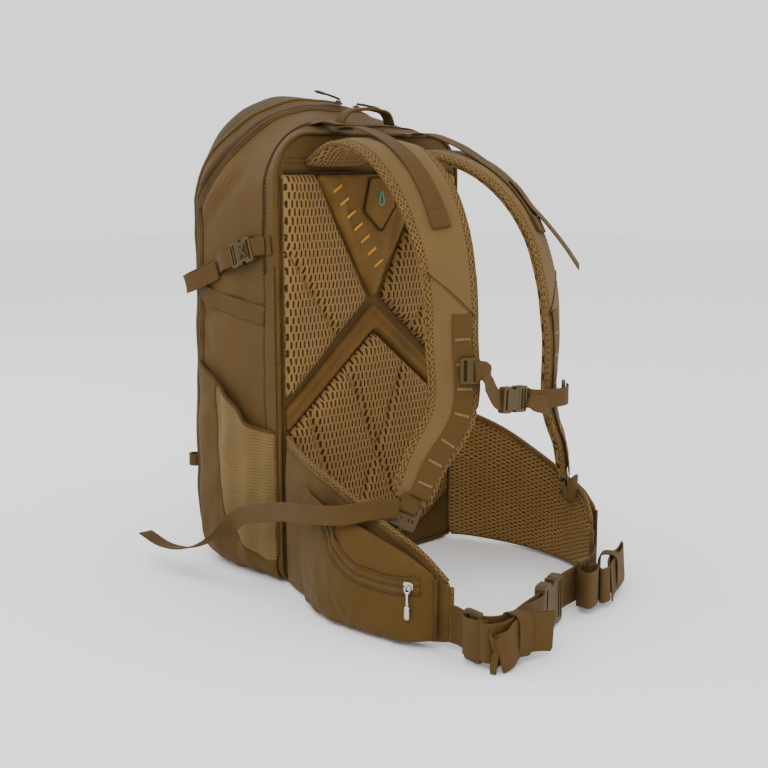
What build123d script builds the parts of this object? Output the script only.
from build123d import *
import math
import os

# Frame, millimetres: +Z up, the bag's bottom back edge on Z = 0, the back panel in the plane Y = 0,
# the wearer at -Y, the wearer's right at -X. "Right" and "left" are the wearer's.

# driving dimensions
PANEL_HALF = 140.0        # half width of the back panel
BAG_DEPTH = 190.0         # back panel to front panel
CLOTH = 2.5               # shell wall: face fabric, foam and lining together
ZIP_SIDE_Y = 146.0        # the main zip runs down both sides in this plane
ZIP_TOP_Z = 412.0         # above this height it leans back over the crown
ZIP_LEAN = 0.72           # run per rise of the leaning part
ZIP_GAP = 1.0             # gap between the two zip edges
ZIP_TAPE = 7.0            # width of each zip tape
SEAM_Z = 45.0             # the front panel opens down to this seam
PAD_THICK = 10.0          # air-mesh pads on the back panel
STRAP_THICK = 14.0        # shoulder strap foam
WING_THICK = 10.0         # hip wing foam
WEB = 1.6                 # webbing thickness
WEB_BELT = 38.0           # hip belt webbing width
WEB_STRAP = 20.0          # shoulder, side and sternum webbing width
AIR = 0.4                 # clearance between parts that move past each other

# the bag's cross sections along its depth:
# depth, half width below, half width above, crown height, crown radius, floor height, floor radius
SECTIONS = [
    (0.0, PANEL_HALF, 142, 488, 46, 0, 20),
    (60.0, 142, 140, 516, 116, 0, 25),
    (120.0, 142, 134, 531, 128, 0, 32),
    (140.0, 139, 130, 532, 124, 2, 36),
    (155.0, 133, 123, 524, 116, 8, 40),
    (172.0, 119, 112, 500, 104, 20, 44),
    (183.0, 102, 97, 470, 88, 36, 46),
    (BAG_DEPTH, 76, 72, 424, 62, 62, 46),
]

# shoulder strap centre lines, written for the wearer's left side (+X):
# x, y, z, outward turn in degrees, width
STRAP_RIGHT = [
    (60, -8, 458, 0, 84),
    (63, -42, 474, 0, 82),
    (69, -92, 470, 10, 74),
    (76, -142, 438, 22, 63),
    (80, -178, 385, 34, 54),
    (81, -195, 325, 38, 50),
    (82, -197, 290, 38, 50),
    (83, -197, 205, 37, 50),
    (111, -190, 163, 34, 46),
    (135, -190, 125, 34, 40),
]
STRAP_LEFT = [
    (60, -8, 457, 0, 82),
    (62, -42, 464, 0, 78),
    (66, -92, 455, 10, 70),
    (70, -140, 426, 22, 61),
    (73, -175, 380, 34, 54),
    (75, -193, 325, 38, 50),
    (77, -197, 280, 38, 50),
    (79, -197, 190, 38, 46),
    (98, -196, 150, 36, 34),
    (107, -195, 113, 36, 28),
]

# hip wing centre lines on the ground plane: x, y, bottom, top
WING_RIGHT = [
    (138, -16, 4, 163),
    (155, -60, 4, 153),
    (166, -118, 3, 138),
    (167, -184, 3, 112),
    (160, -240, 4, 84),
    (154, -268, 8, 60),
]
WING_LEFT = [
    (138, -16, 4, 159),
    (150, -60, 4, 146),
    (153, -120, 4, 122),
    (142, -180, 4, 98),
    (116, -226, 6, 76),
    (108, -236, 14, 60),
]

BELT_HINGE = (-132.0, -8.0)                  # where the right wing folds at the lumbar panel
BELT_Z = 26.0                                # middle of the belt webbing above the ground
BUCKLE_AT = (-36.0, -292.0, BELT_Z)          # mouth of the closed belt buckle
ZIP_ARC_Z = 395.0                            # centre height of the crown part of the zip
ZIP_ARC_R = 158.8                            # radius that the sliders run at
ZIP_TILT = 22.0                              # the cloth's slope across the zip, from the arc's plane

os.makedirs("parts", exist_ok=True)


def finish(piece, name):
    """Label a finished piece and write it."""
    piece.part.label = name
    export_step(piece.part, f"parts/{name}.step")


def section_at(depth):
    """The bag's section sizes at one depth, straight between the listed ones."""
    for low, high in zip(SECTIONS, SECTIONS[1:]):
        if depth <= high[0]:
            share = (depth - low[0]) / (high[0] - low[0])
            return [a + share * (b - a) for a, b in zip(low, high)]
    return list(SECTIONS[-1])


def bag_form(grow, start=0.0, end=BAG_DEPTH, ahead=0.0):
    """Loft the bag's form, grown by an offset, into the part that is being built."""
    depths = [start] + [row[0] for row in SECTIONS if start < row[0] < end] + [end]
    outlines = []
    for depth in depths:
        look = depth + ahead if depth > 120 else depth
        _, below, above, crown, crown_r, floor, floor_r = section_at(min(look, BAG_DEPTH))
        with BuildSketch(Plane.XZ.offset(-depth)) as outline:
            with BuildLine():
                Polyline(
                    (-below - grow, floor - grow),
                    (below + grow, floor - grow),
                    (above + grow, crown + grow),
                    (-above - grow, crown + grow),
                    close=True,
                )
            make_face()
            fillet(vertices().group_by(Axis.Y)[0], floor_r + grow)
            fillet(vertices().group_by(Axis.Y)[-1], crown_r + grow)
        outlines.append(outline.sketch)
    loft(sections=outlines, ruled=True)


def prism(points, half=220.0):
    """A wide block with a side-view outline (y, z)."""
    with BuildPart() as block:
        with BuildSketch(Plane.YZ):
            with BuildLine():
                Polyline(*points, close=True)
            make_face()
        extrude(amount=half, both=True)
    return block.part


def front_region(shift):
    """The space in front of the zip line, with the line moved forward by a shift."""
    side = ZIP_SIDE_Y + shift
    roof = 600.0
    lean = (roof - ZIP_TOP_Z) * ZIP_LEAN
    far = BAG_DEPTH + 60
    low = SEAM_Z + shift
    return prism([(side, low), (side, ZIP_TOP_Z), (side - lean, roof), (far, roof), (far, low)])


def run_planes(points, across):
    """A plane at each point, facing along the run, with x along the strip's width."""
    spots = [Vector(*point) for point in points]
    planes = []
    for i, spot in enumerate(spots):
        before = spots[max(i - 1, 0)]
        after = spots[min(i + 1, len(spots) - 1)]
        ahead = (after - before).normalized()
        if 0 < i < len(spots) - 1:
            ahead = ((spot - before).normalized() + (after - spot).normalized()).normalized()
        wide = across[i] if isinstance(across, list) else across
        wide = (wide - ahead * wide.dot(ahead)).normalized()
        planes.append(Plane(origin=spot, x_dir=wide, z_dir=ahead))
    return planes


def strip(planes, widths, thicks, corner=0.0):
    """Loft a flat strip through one rectangle per plane."""
    outlines = []
    for plane, width, thick in zip(planes, widths, thicks):
        with BuildSketch(plane) as outline:
            if corner:
                RectangleRounded(width, thick, corner)
            else:
                Rectangle(width, thick)
        outlines.append(outline.sketch)
    for near, far in zip(outlines, outlines[1:]):
        loft(sections=[near, far], ruled=True)


def webbing(name, points, across, width, thick=WEB):
    """A piece of webbing through the given points."""
    with BuildPart() as band:
        strip(run_planes(points, across), [width] * len(points), [thick] * len(points))
    finish(band, name)


def upright(stations, side):
    """Vertical section planes and heights of a panel that follows a line on the ground."""
    flat = run_planes([(side * row[0], row[1], 0) for row in stations], Vector(0, 0, 1))
    planes = []
    for plane, row in zip(flat, stations):
        middle = Vector(side * row[0], row[1], (row[2] + row[3]) / 2)
        planes.append(Plane(origin=middle, x_dir=plane.x_dir, z_dir=plane.z_dir))
    return planes, [row[3] - row[2] for row in stations]


def strap_frames(stations, side):
    """Planes and widths of one shoulder strap."""
    points = [(side * row[0], row[1], row[2]) for row in stations]
    across = []
    for row in stations:
        turn = math.radians(row[3])
        across.append(Vector(side * math.cos(turn), math.sin(turn), 0))
    return run_planes(points, across), [row[4] for row in stations]


def on_strap(plane, along_width, lift):
    """A point on a strap's outer face: moved along its width and lifted off it."""
    outward = plane.y_dir
    if outward.dot(Vector(0, -1, 1)) < 0:
        outward = -outward
    return plane.origin + plane.x_dir * along_width + outward * (STRAP_THICK / 2 + lift)


def slot_frame(name, plane, outline, slots, thick):
    """A flat moulded frame with webbing slots: x of the plane runs with the webbing."""
    with BuildPart() as frame:
        with BuildSketch(plane.offset(-thick / 2)):
            RectangleRounded(*outline, 2.5)
            for offset, slot in slots:
                with Locations((offset, 0)):
                    RectangleRounded(*slot, 0.9, mode=Mode.SUBTRACT)
        extrude(amount=thick)
    finish(frame, name)


def buckle_socket(name, plane, web, scale):
    """Socket half of a side-release buckle: x of the plane points out of its mouth."""
    wide = web + 10 * scale
    long = 34 * scale
    thick = 11 * scale
    with BuildPart() as socket:
        with BuildSketch(plane.offset(-thick / 2)):
            with Locations((-long / 2, 0)):
                RectangleRounded(long, wide, 4 * scale)
        extrude(amount=thick)
        with BuildSketch(plane.offset(-thick / 2 + 2 * scale)):
            with Locations((-7.5 * scale, 0)):
                Rectangle(17 * scale, wide - 5 * scale)
        extrude(amount=thick - 4 * scale, mode=Mode.SUBTRACT)
        with BuildSketch(plane.offset(-thick / 2)):
            with Locations((-11 * scale, wide / 2), (-11 * scale, -wide / 2)):
                RectangleRounded(10 * scale, 8 * scale, 2 * scale)
            with Locations((-long + 7 * scale, 0)):
                RectangleRounded(3.2 * scale + 1, web + 1, 1)
        extrude(amount=thick, mode=Mode.SUBTRACT)
    finish(socket, name)


def buckle_plug(name, plane, web, scale):
    """Plug half: x of the plane points out of the socket, towards the plug's own webbing."""
    wide = web + 10 * scale
    thick = 11 * scale
    tongue = thick - 4 * scale - 3 * scale
    base = 18 * scale
    with BuildPart() as plug:
        with BuildSketch(plane.offset(-thick / 2)):
            with Locations((AIR + base / 2, 0)):
                RectangleRounded(base, wide, 3 * scale)
        extrude(amount=thick)
        with BuildSketch(plane.offset(-tongue / 2)):
            with Locations((-5 * scale, web * 0.32), (-5 * scale, -web * 0.32)):
                Rectangle(16 * scale, 5 * scale)
            with Locations((-4 * scale, 0)):
                Rectangle(14 * scale, 4 * scale)
        extrude(amount=tongue)
        with BuildSketch(plane.offset(-thick / 2)):
            with Locations((7.5 * scale, 0), (13.5 * scale, 0)):
                RectangleRounded(3.6 * scale, web + 1, 1)
        extrude(amount=thick, mode=Mode.SUBTRACT)
    finish(plug, name)


# bag: outer form, inner form, and the strip that carries the zip tapes
with BuildPart() as outer_form:
    bag_form(0)
with BuildPart() as inner_form:
    bag_form(-CLOTH, CLOTH, BAG_DEPTH - CLOTH, ahead=CLOTH)
with BuildPart() as tape_form:
    bag_form(1.2)

with BuildPart() as bag_shell:
    add(outer_form.part)
    add(inner_form.part, mode=Mode.SUBTRACT)
    add(front_region(0), mode=Mode.SUBTRACT)
finish(bag_shell, "bag_shell")

with BuildPart() as front_panel:
    add(outer_form.part)
    add(inner_form.part, mode=Mode.SUBTRACT)
    add(front_region(ZIP_GAP), mode=Mode.INTERSECT)
finish(front_panel, "front_panel")

with BuildPart() as zip_tape_body:
    add(tape_form.part)
    add(outer_form.part, mode=Mode.SUBTRACT)
    add(front_region(-ZIP_TAPE), mode=Mode.INTERSECT)
    add(front_region(0), mode=Mode.SUBTRACT)
    add(prism([(-10, 50), (300, 50), (300, 600), (-10, 600)]), mode=Mode.INTERSECT)
finish(zip_tape_body, "zip_tape_body")

with BuildPart() as zip_tape_panel:
    add(tape_form.part)
    add(outer_form.part, mode=Mode.SUBTRACT)
    add(front_region(ZIP_GAP), mode=Mode.INTERSECT)
    add(front_region(ZIP_GAP + ZIP_TAPE), mode=Mode.SUBTRACT)
    add(prism([(-10, 54), (300, 54), (300, 600), (-10, 600)]), mode=Mode.INTERSECT)
finish(zip_tape_panel, "zip_tape_panel")


# back panel: piping, mesh pads, smooth yoke, cross band and lumbar pad
with BuildPart() as edge_piping:
    with BuildSketch(Plane.XZ.offset(AIR)):
        with BuildLine():
            Polyline((-140, 0), (140, 0), (142, 488), (-142, 488), close=True)
        make_face()
        fillet(vertices().group_by(Axis.Y)[0], 20)
        fillet(vertices().group_by(Axis.Y)[-1], 46)
        offset(amount=-4.5, mode=Mode.SUBTRACT)
    extrude(amount=4)
finish(edge_piping, "edge_piping")


def back_piece(name, points, radius, thick):
    """A flat piece sewn to the back panel, outlined in x and z."""
    with BuildPart() as piece:
        with BuildSketch(Plane.XZ.offset(AIR)):
            with BuildLine():
                Polyline(*points, close=True)
            make_face()
            fillet(vertices(), radius)
        extrude(amount=thick)
    finish(piece, name)


for side, hand in ((-1, "right"), (1, "left")):
    column = [(side * 134, 445), (side * 88, 445), (side * 11, 306), (side * 134, 200)]
    back_piece(f"back_pad_{hand}", column, 4, PAD_THICK)
back_piece("back_yoke", [(-86, 445), (86, 445), (0, 302)], 4, PAD_THICK - 3)
chevron = [(0, 300), (132, 192), (132, 166), (0, 270), (-132, 166), (-132, 192)]
back_piece("cross_band", chevron, 3, PAD_THICK - 4)
lumbar = [(0, 267), (126, 168), (126, 60), (64, 22), (-64, 22), (-126, 60), (-126, 168)]
back_piece("lumbar_pad", lumbar, 6, PAD_THICK)

# hydration port flap: a hexagon over the yoke, hinged at its top edge
with BuildPart() as hydration_flap:
    with BuildSketch(Plane.XZ.offset(PAD_THICK - 3 + 2 * AIR)):
        with BuildLine():
            Polyline((-15, 440), (15, 440), (21, 408), (0, 384), (-21, 408), close=True)
        make_face()
    extrude(amount=2)
finish(hydration_flap, "hydration_flap")

# inside: stiff frame sheet, two aluminium stays, reservoir sleeve
with BuildPart() as frame_sheet:
    with BuildSketch(Plane.XZ.offset(-CLOTH - AIR)):
        with Locations((0, 238)):
            RectangleRounded(236, 436, 30)
    extrude(amount=-1.5)
finish(frame_sheet, "frame_sheet")

with BuildPart() as frame_stays:
    with BuildSketch(Plane.XZ.offset(-CLOTH - 2 * AIR - 1.5)):
        with Locations((-45, 236), (45, 236)):
            RectangleRounded(12.5, 420, 5)
    extrude(amount=-3)
finish(frame_stays, "frame_stays")

SLEEVE_Y = 9.0
with BuildPart() as hydration_sleeve:
    with BuildSketch(Plane.XY.offset(60)):
        with Locations((0, SLEEVE_Y + 7)):
            RectangleRounded(200, 14, 4)
    extrude(amount=330)
    with BuildSketch(Plane.XY.offset(61)):
        with Locations((0, SLEEVE_Y + 7)):
            RectangleRounded(198, 12, 3)
    extrude(amount=330, mode=Mode.SUBTRACT)
finish(hydration_sleeve, "hydration_sleeve")

# stretch mesh side pockets, open at the slanted top
POCKET_SIDE = [(5, 3), (139, 3), (139, 222), (108, 213), (56, 195), (5, 162)]
POCKET_SPACE = [(7, 5), (137, 5), (137, 320), (7, 320)]
with BuildPart() as pocket_outside:
    bag_form(12)
with BuildPart() as pocket_inside:
    bag_form(10.5)
with BuildPart() as pocket_backing:
    bag_form(AIR)
for side, hand in ((-1, "right"), (1, "left")):
    with BuildPart() as side_pocket:
        add(pocket_outside.part)
        add(prism(POCKET_SIDE), mode=Mode.INTERSECT)
        with BuildSketch(Plane.YZ.offset(side * 60)):
            Rectangle(900, 1400)
        extrude(amount=-side * 400, mode=Mode.SUBTRACT)
        add(pocket_backing.part, mode=Mode.SUBTRACT)
        add(pocket_inside.part & prism(POCKET_SPACE), mode=Mode.SUBTRACT)
    finish(side_pocket, f"side_pocket_{hand}")

# gear loops low on the front corners
with BuildPart() as gear_loops:
    for side in (-1, 1):
        with BuildSketch(Plane.XY.offset(106)):
            with Locations(Location((side * 130, 164), 40 * side)):
                RectangleRounded(14, 12, 3)
                RectangleRounded(10, 9, 2, mode=Mode.SUBTRACT)
        extrude(amount=14)
    add(outer_form.part, mode=Mode.SUBTRACT)
finish(gear_loops, "gear_loops")

# grab handle: a webbing loop on the bag's top edge
with BuildPart() as grab_handle:
    arch = [(-40, 6, 500), (-36, 5, 509), (-16, 3, 515), (12, 3, 515), (30, 5, 509), (34, 6, 500)]
    strip(run_planes(arch, Vector(0, 1, 0)), [15] * len(arch), [2.4] * len(arch))
finish(grab_handle, "grab_handle")

# main zip: two sliders on the crown, with a cord pull on each
LEAN_ANGLE = math.atan(ZIP_LEAN)
ZIP_AXIS = Vector(0, math.cos(LEAN_ANGLE), math.sin(LEAN_ANGLE))
ZIP_CENTRE = Vector(0, ZIP_SIDE_Y - (ZIP_ARC_Z - ZIP_TOP_Z) * ZIP_LEAN, ZIP_ARC_Z)


def zip_plane(turn):
    """Plane on the zip's arc at an angle from the crown: x along the zip, z off the cloth."""
    up = Vector(0, -math.sin(LEAN_ANGLE), math.cos(LEAN_ANGLE))
    outward = up * math.cos(math.radians(turn)) + Vector(1, 0, 0) * math.sin(math.radians(turn))
    along = ZIP_AXIS.cross(outward)
    off = outward * math.cos(math.radians(ZIP_TILT)) + ZIP_AXIS * math.sin(math.radians(ZIP_TILT))
    return Plane(origin=ZIP_CENTRE + outward * ZIP_ARC_R, x_dir=along, z_dir=off)


for turn, hand in ((4, "right"), (16, "left")):
    with BuildPart() as zip_slider:
        with BuildSketch(zip_plane(turn)):
            RectangleRounded(11, 8, 3)
        extrude(amount=2)
        with BuildSketch(zip_plane(turn).offset(2)):
            RectangleRounded(7, 3, 1)
        extrude(amount=2)
    finish(zip_slider, f"zip_slider_{hand}")
    with BuildPart() as zip_pull:
        lift = -1 if hand == "right" else 1
        with BuildSketch(zip_plane(turn).offset(5.2)):
            with Locations((lift * 13, 0)):
                RectangleRounded(30, 3, 1.2)
            with Locations((lift * 30, 0)):
                RectangleRounded(16, 6, 2)
        extrude(amount=2.4)
    finish(zip_pull, f"zip_pull_{hand}")


# shoulder straps with their webbing and hardware
for side, hand, stations in ((-1, "right", STRAP_RIGHT), (1, "left", STRAP_LEFT)):
    planes, widths = strap_frames(stations, side)
    with BuildPart() as strap:
        strip(planes, widths, [STRAP_THICK] * len(planes), 6)
    finish(strap, f"shoulder_strap_{hand}")

    turns = [math.radians(row[3]) for row in stations]
    faces_out = [Vector(side * math.cos(turn), math.sin(turn), 0) for turn in turns]
    inner = [-width / 2 + 13 for width in widths]
    daisy = [on_strap(planes[i], inner[i], 1.2) for i in range(5, 10)]
    webbing(f"daisy_webbing_{hand}", daisy, faces_out[5:], 22)

    lifter = [on_strap(planes[i], 0, 1.6) for i in range(1, 5)]
    start = Vector(side * 56, -21, 489 if side < 0 else 484)
    webbing(f"load_lifter_{hand}", [start] + lifter, [Vector(side, 0, 0)] + faces_out[1:5], WEB_STRAP)

    low = planes[-1]
    lock_at = low.origin + low.z_dir * 13
    lock_plane = Plane(origin=lock_at, x_dir=low.z_dir, z_dir=on_strap(low, 0, 0) - low.origin)
    slot_frame(f"ladder_lock_{hand}", lock_plane, (24, 30), [(-6, (4, 22)), (3, (3.5, 22))], 4)
    anchor = Vector(side * 121, -6, 16)
    middle = (lock_at + anchor) * 0.5 + Vector(0, 8, -3)
    exit_at = lock_at + low.z_dir * 15
    lower = [exit_at, exit_at * 0.4 + middle * 0.6, middle * 0.6 + anchor * 0.4, anchor]
    webbing(f"lower_webbing_{hand}", lower, Vector(side * 0.9, 0.3, 0.3), WEB_STRAP)

with BuildPart() as lifter_locks:
    for side, height in ((-1, 491), (1, 486)):
        with BuildSketch(Plane(origin=(side * 56, -12, height), x_dir=(0, 1, 0), z_dir=(0, -0.1, 1))):
            RectangleRounded(11, 28, 2.5)
            RectangleRounded(3, 21, 1, mode=Mode.SUBTRACT)
        extrude(amount=3)
finish(lifter_locks, "lifter_locks")

# the right strap's free webbing end, past the hip pocket and out beside the bag
free_end = [
    (-152, -193, 124), (-174, -184, 125), (-196, -160, 119), (-199, -118, 112), (-192, -68, 104),
    (-184, -18, 92), (-176, 28, 76), (-180, 70, 52), (-188, 110, 37), (-194, 142, 31), (-198, 172, 31),
]
lying = [Vector(0, 0, 1)] * 6 + [Vector(-0.5, 0, 1), Vector(-1, 0, 0.5)] + [Vector(-1, 0, 0)] * 3
webbing("webbing_tail_right", free_end, lying, WEB_STRAP)


# sternum strap: a slider on each shoulder strap, webbing and a small buckle
SLIDER_RIGHT = Vector(-76.2, -216.8, 254)
SLIDER_LEFT = Vector(74.6, -217.4, 214)
SLIDER_TURN = math.radians(38)
with BuildPart() as sternum_sliders:
    for side, centre in ((-1, SLIDER_RIGHT), (1, SLIDER_LEFT)):
        wide = Vector(side * math.cos(SLIDER_TURN), math.sin(SLIDER_TURN), 0)
        out = Vector(side * math.sin(SLIDER_TURN), -math.cos(SLIDER_TURN), 0)
        with BuildSketch(Plane(origin=centre - out * 2, x_dir=wide, z_dir=out)):
            RectangleRounded(20, 26, 3)
            with Locations((-5, 0), (5, 0)):
                RectangleRounded(3.5, 21, 1, mode=Mode.SUBTRACT)
        extrude(amount=4)
finish(sternum_sliders, "sternum_sliders")

STERNUM_PLANE = Plane(origin=(-14, -225, 219), x_dir=(1, 0, -0.06), z_dir=(0, -1, 0))
buckle_socket("sternum_socket", STERNUM_PLANE, WEB_STRAP, 0.7)
buckle_plug("sternum_plug", STERNUM_PLANE, WEB_STRAP, 0.7)


def off_slider(centre, side, inward):
    """A point just off a sternum slider's face, moved towards the middle of the chest."""
    wide = Vector(side * math.cos(SLIDER_TURN), math.sin(SLIDER_TURN), 0)
    out = Vector(side * math.sin(SLIDER_TURN), -math.cos(SLIDER_TURN), 0)
    return centre - wide * inward + out * 4.8


right_chest = [off_slider(SLIDER_RIGHT, -1, 3), off_slider(SLIDER_RIGHT, -1, 13)]
right_chest += [(-58, -231, 239), (-50, -229, 227), (-44, -226, 222), (-38.6, -225, 221)]
webbing("sternum_webbing_right", right_chest, Vector(0, 0, 1), WEB_STRAP)
left_chest = [(0.5, -225, 218), (20, -228, 215)]
left_chest += [off_slider(SLIDER_LEFT, 1, 14), off_slider(SLIDER_LEFT, 1, 3)]
webbing("sternum_webbing_left", left_chest, Vector(0, 0, 1), WEB_STRAP)

# side compression straps: a V from the back edge to the front corner, with a buckle in its upper arm
COMPRESSION_RUN = Vector(0, 0.95, -0.31).normalized()
with BuildPart() as compression_webbing:
    for side in (-1, 1):
        run = [(side * 144.5, 5, 293), (side * 146, 60, 299)]
        run += [(side * 144, 110, 307), (side * 141, 134, 313)]
        strip(run_planes(run, Vector(0, 0, 1)), [WEB_STRAP] * 4, [WEB] * 4)
        run = [(side * 144, 5, 370), (side * 146, 18, 369.5), (side * 146.4, 27.5, 368.5)]
        strip(run_planes(run, Vector(0, 0, 1)), [WEB_STRAP] * 3, [WEB] * 3)
finish(compression_webbing, "compression_webbing")

for side, hand in ((-1, "right"), (1, "left")):
    buckle_plane = Plane(origin=(side * 146.4, 53, 360), x_dir=COMPRESSION_RUN, z_dir=(side, 0, 0))
    buckle_socket(f"compression_socket_{hand}", buckle_plane, WEB_STRAP, 0.7)
    buckle_plug(f"compression_plug_{hand}", buckle_plane, WEB_STRAP, 0.7)
    front = [buckle_plane.origin + COMPRESSION_RUN * 14, (side * 144.5, 100, 345), (side * 142, 133, 336)]
    webbing(f"compression_front_{hand}", front, Vector(0, 0.3, 1), WEB_STRAP)

# hip belt: padded wings with zip pockets, webbing, tri-glides, folded tails and the buckle
# hip pocket centre lines on the ground plane: x, y, bottom, top, thickness
HIP_POCKET_RIGHT = [
    (166, -72, 5, 120, 6),
    (180, -118, 3, 116, 14),
    (181.5, -188, 3, 102, 16),
    (174, -238, 5, 84, 13),
    (167, -256, 9, 72, 5),
]
HIP_POCKET_LEFT = [
    (161, -72, 5, 110, 6),
    (167, -118, 4, 104, 14),
    (157, -183, 4, 90, 15),
    (137, -218, 6, 74, 10),
]
belt_sides = ((-1, "right", WING_RIGHT, HIP_POCKET_RIGHT), (1, "left", WING_LEFT, HIP_POCKET_LEFT))
for side, hand, wing, pouch in belt_sides:
    planes, heights = upright(wing, side)
    with BuildPart() as hip_wing:
        strip(planes, heights, [WING_THICK] * len(planes), 4)
    finish(hip_wing, f"hip_wing_{hand}")
    planes, heights = upright(pouch, side)
    with BuildPart() as hip_pocket:
        strip(planes, heights, [row[4] for row in pouch], 2)
    finish(hip_pocket, f"hip_pocket_{hand}")

BUCKLE_RUN = Vector(-(BUCKLE_AT[1] - BELT_HINGE[1]), BUCKLE_AT[0] - BELT_HINGE[0], 0).normalized()
BUCKLE_PLANE = Plane(origin=BUCKLE_AT, x_dir=BUCKLE_RUN, z_dir=Vector(BUCKLE_RUN.Y, -BUCKLE_RUN.X, 0))
buckle_socket("belt_socket", BUCKLE_PLANE, WEB_BELT, 1.0)
buckle_plug("belt_plug", BUCKLE_PLANE, WEB_BELT, 1.0)


def ground_line(points):
    """Belt webbing points at the belt's height."""
    return [(x, y, BELT_Z) for x, y in points]


UP = Vector(0, 0, 1)
socket_slot = BUCKLE_PLANE.origin - BUCKLE_RUN * 35
plug_slot = BUCKLE_PLANE.origin + BUCKLE_RUN * 19
right_bend = [(-156, -274), (-160, -289), (-160, -304)]
right_bend += [(-155, -314), (-145, -319), (-130, -319), (-105, -312)]
right_run = ground_line(right_bend) + [socket_slot]
webbing("belt_webbing_right", right_run, UP, WEB_BELT)
left_run = [plug_slot] + ground_line([(0, -280), (24, -276), (52, -270), (82, -258), (103, -243)])
webbing("belt_webbing_left", left_run, UP, WEB_BELT)
right_tail = ground_line([(-168, -320), (-162, -332), (-148, -337), (-124, -335), (-100, -343)])
webbing("belt_tail_right", right_tail, UP, WEB_BELT)
left_tail = ground_line([(12, -303), (34, -296), (58, -286), (82, -275), (110, -268), (136, -257)])
webbing("belt_tail_left", left_tail, UP, WEB_BELT)
right_glide = Plane(origin=(-165.5, -303, BELT_Z), x_dir=(0.15, 1, 0), z_dir=(-1, 0.15, 0))
slot_frame("tri_glide_right", right_glide, (22, 49), [(-6, (4, 40)), (6, (4, 40))], 4.5)
left_glide = Plane(origin=(35, -278.5, BELT_Z), x_dir=(1, 0.18, 0), z_dir=(0.18, -1, 0))
slot_frame("tri_glide_left", left_glide, (22, 49), [(-6, (4, 40)), (6, (4, 40))], 4.5)

# the right pocket's zip slider and its metal pull, which hangs down
POCKET_RUN = Vector(-9.3, 50, 0).normalized()
POCKET_OUT = Vector(-POCKET_RUN.Y, POCKET_RUN.X, 0)
SLIDER_AT = Vector(-181.7, -236, 62)
with BuildPart() as pocket_slider:
    with BuildSketch(Plane(origin=SLIDER_AT, x_dir=POCKET_RUN, z_dir=POCKET_OUT)):
        RectangleRounded(11, 8, 3)
    extrude(amount=2.4)
finish(pocket_slider, "pocket_slider")
with BuildPart() as pocket_pull:
    with BuildSketch(Plane(origin=SLIDER_AT + POCKET_OUT * 3, x_dir=POCKET_RUN, z_dir=POCKET_OUT)):
        with Locations((0, 12)):
            RectangleRounded(3, 26, 1.2)
        with Locations((0, 26)):
            RectangleRounded(7, 14, 2)
    extrude(amount=2.4)
finish(pocket_pull, "pocket_pull")
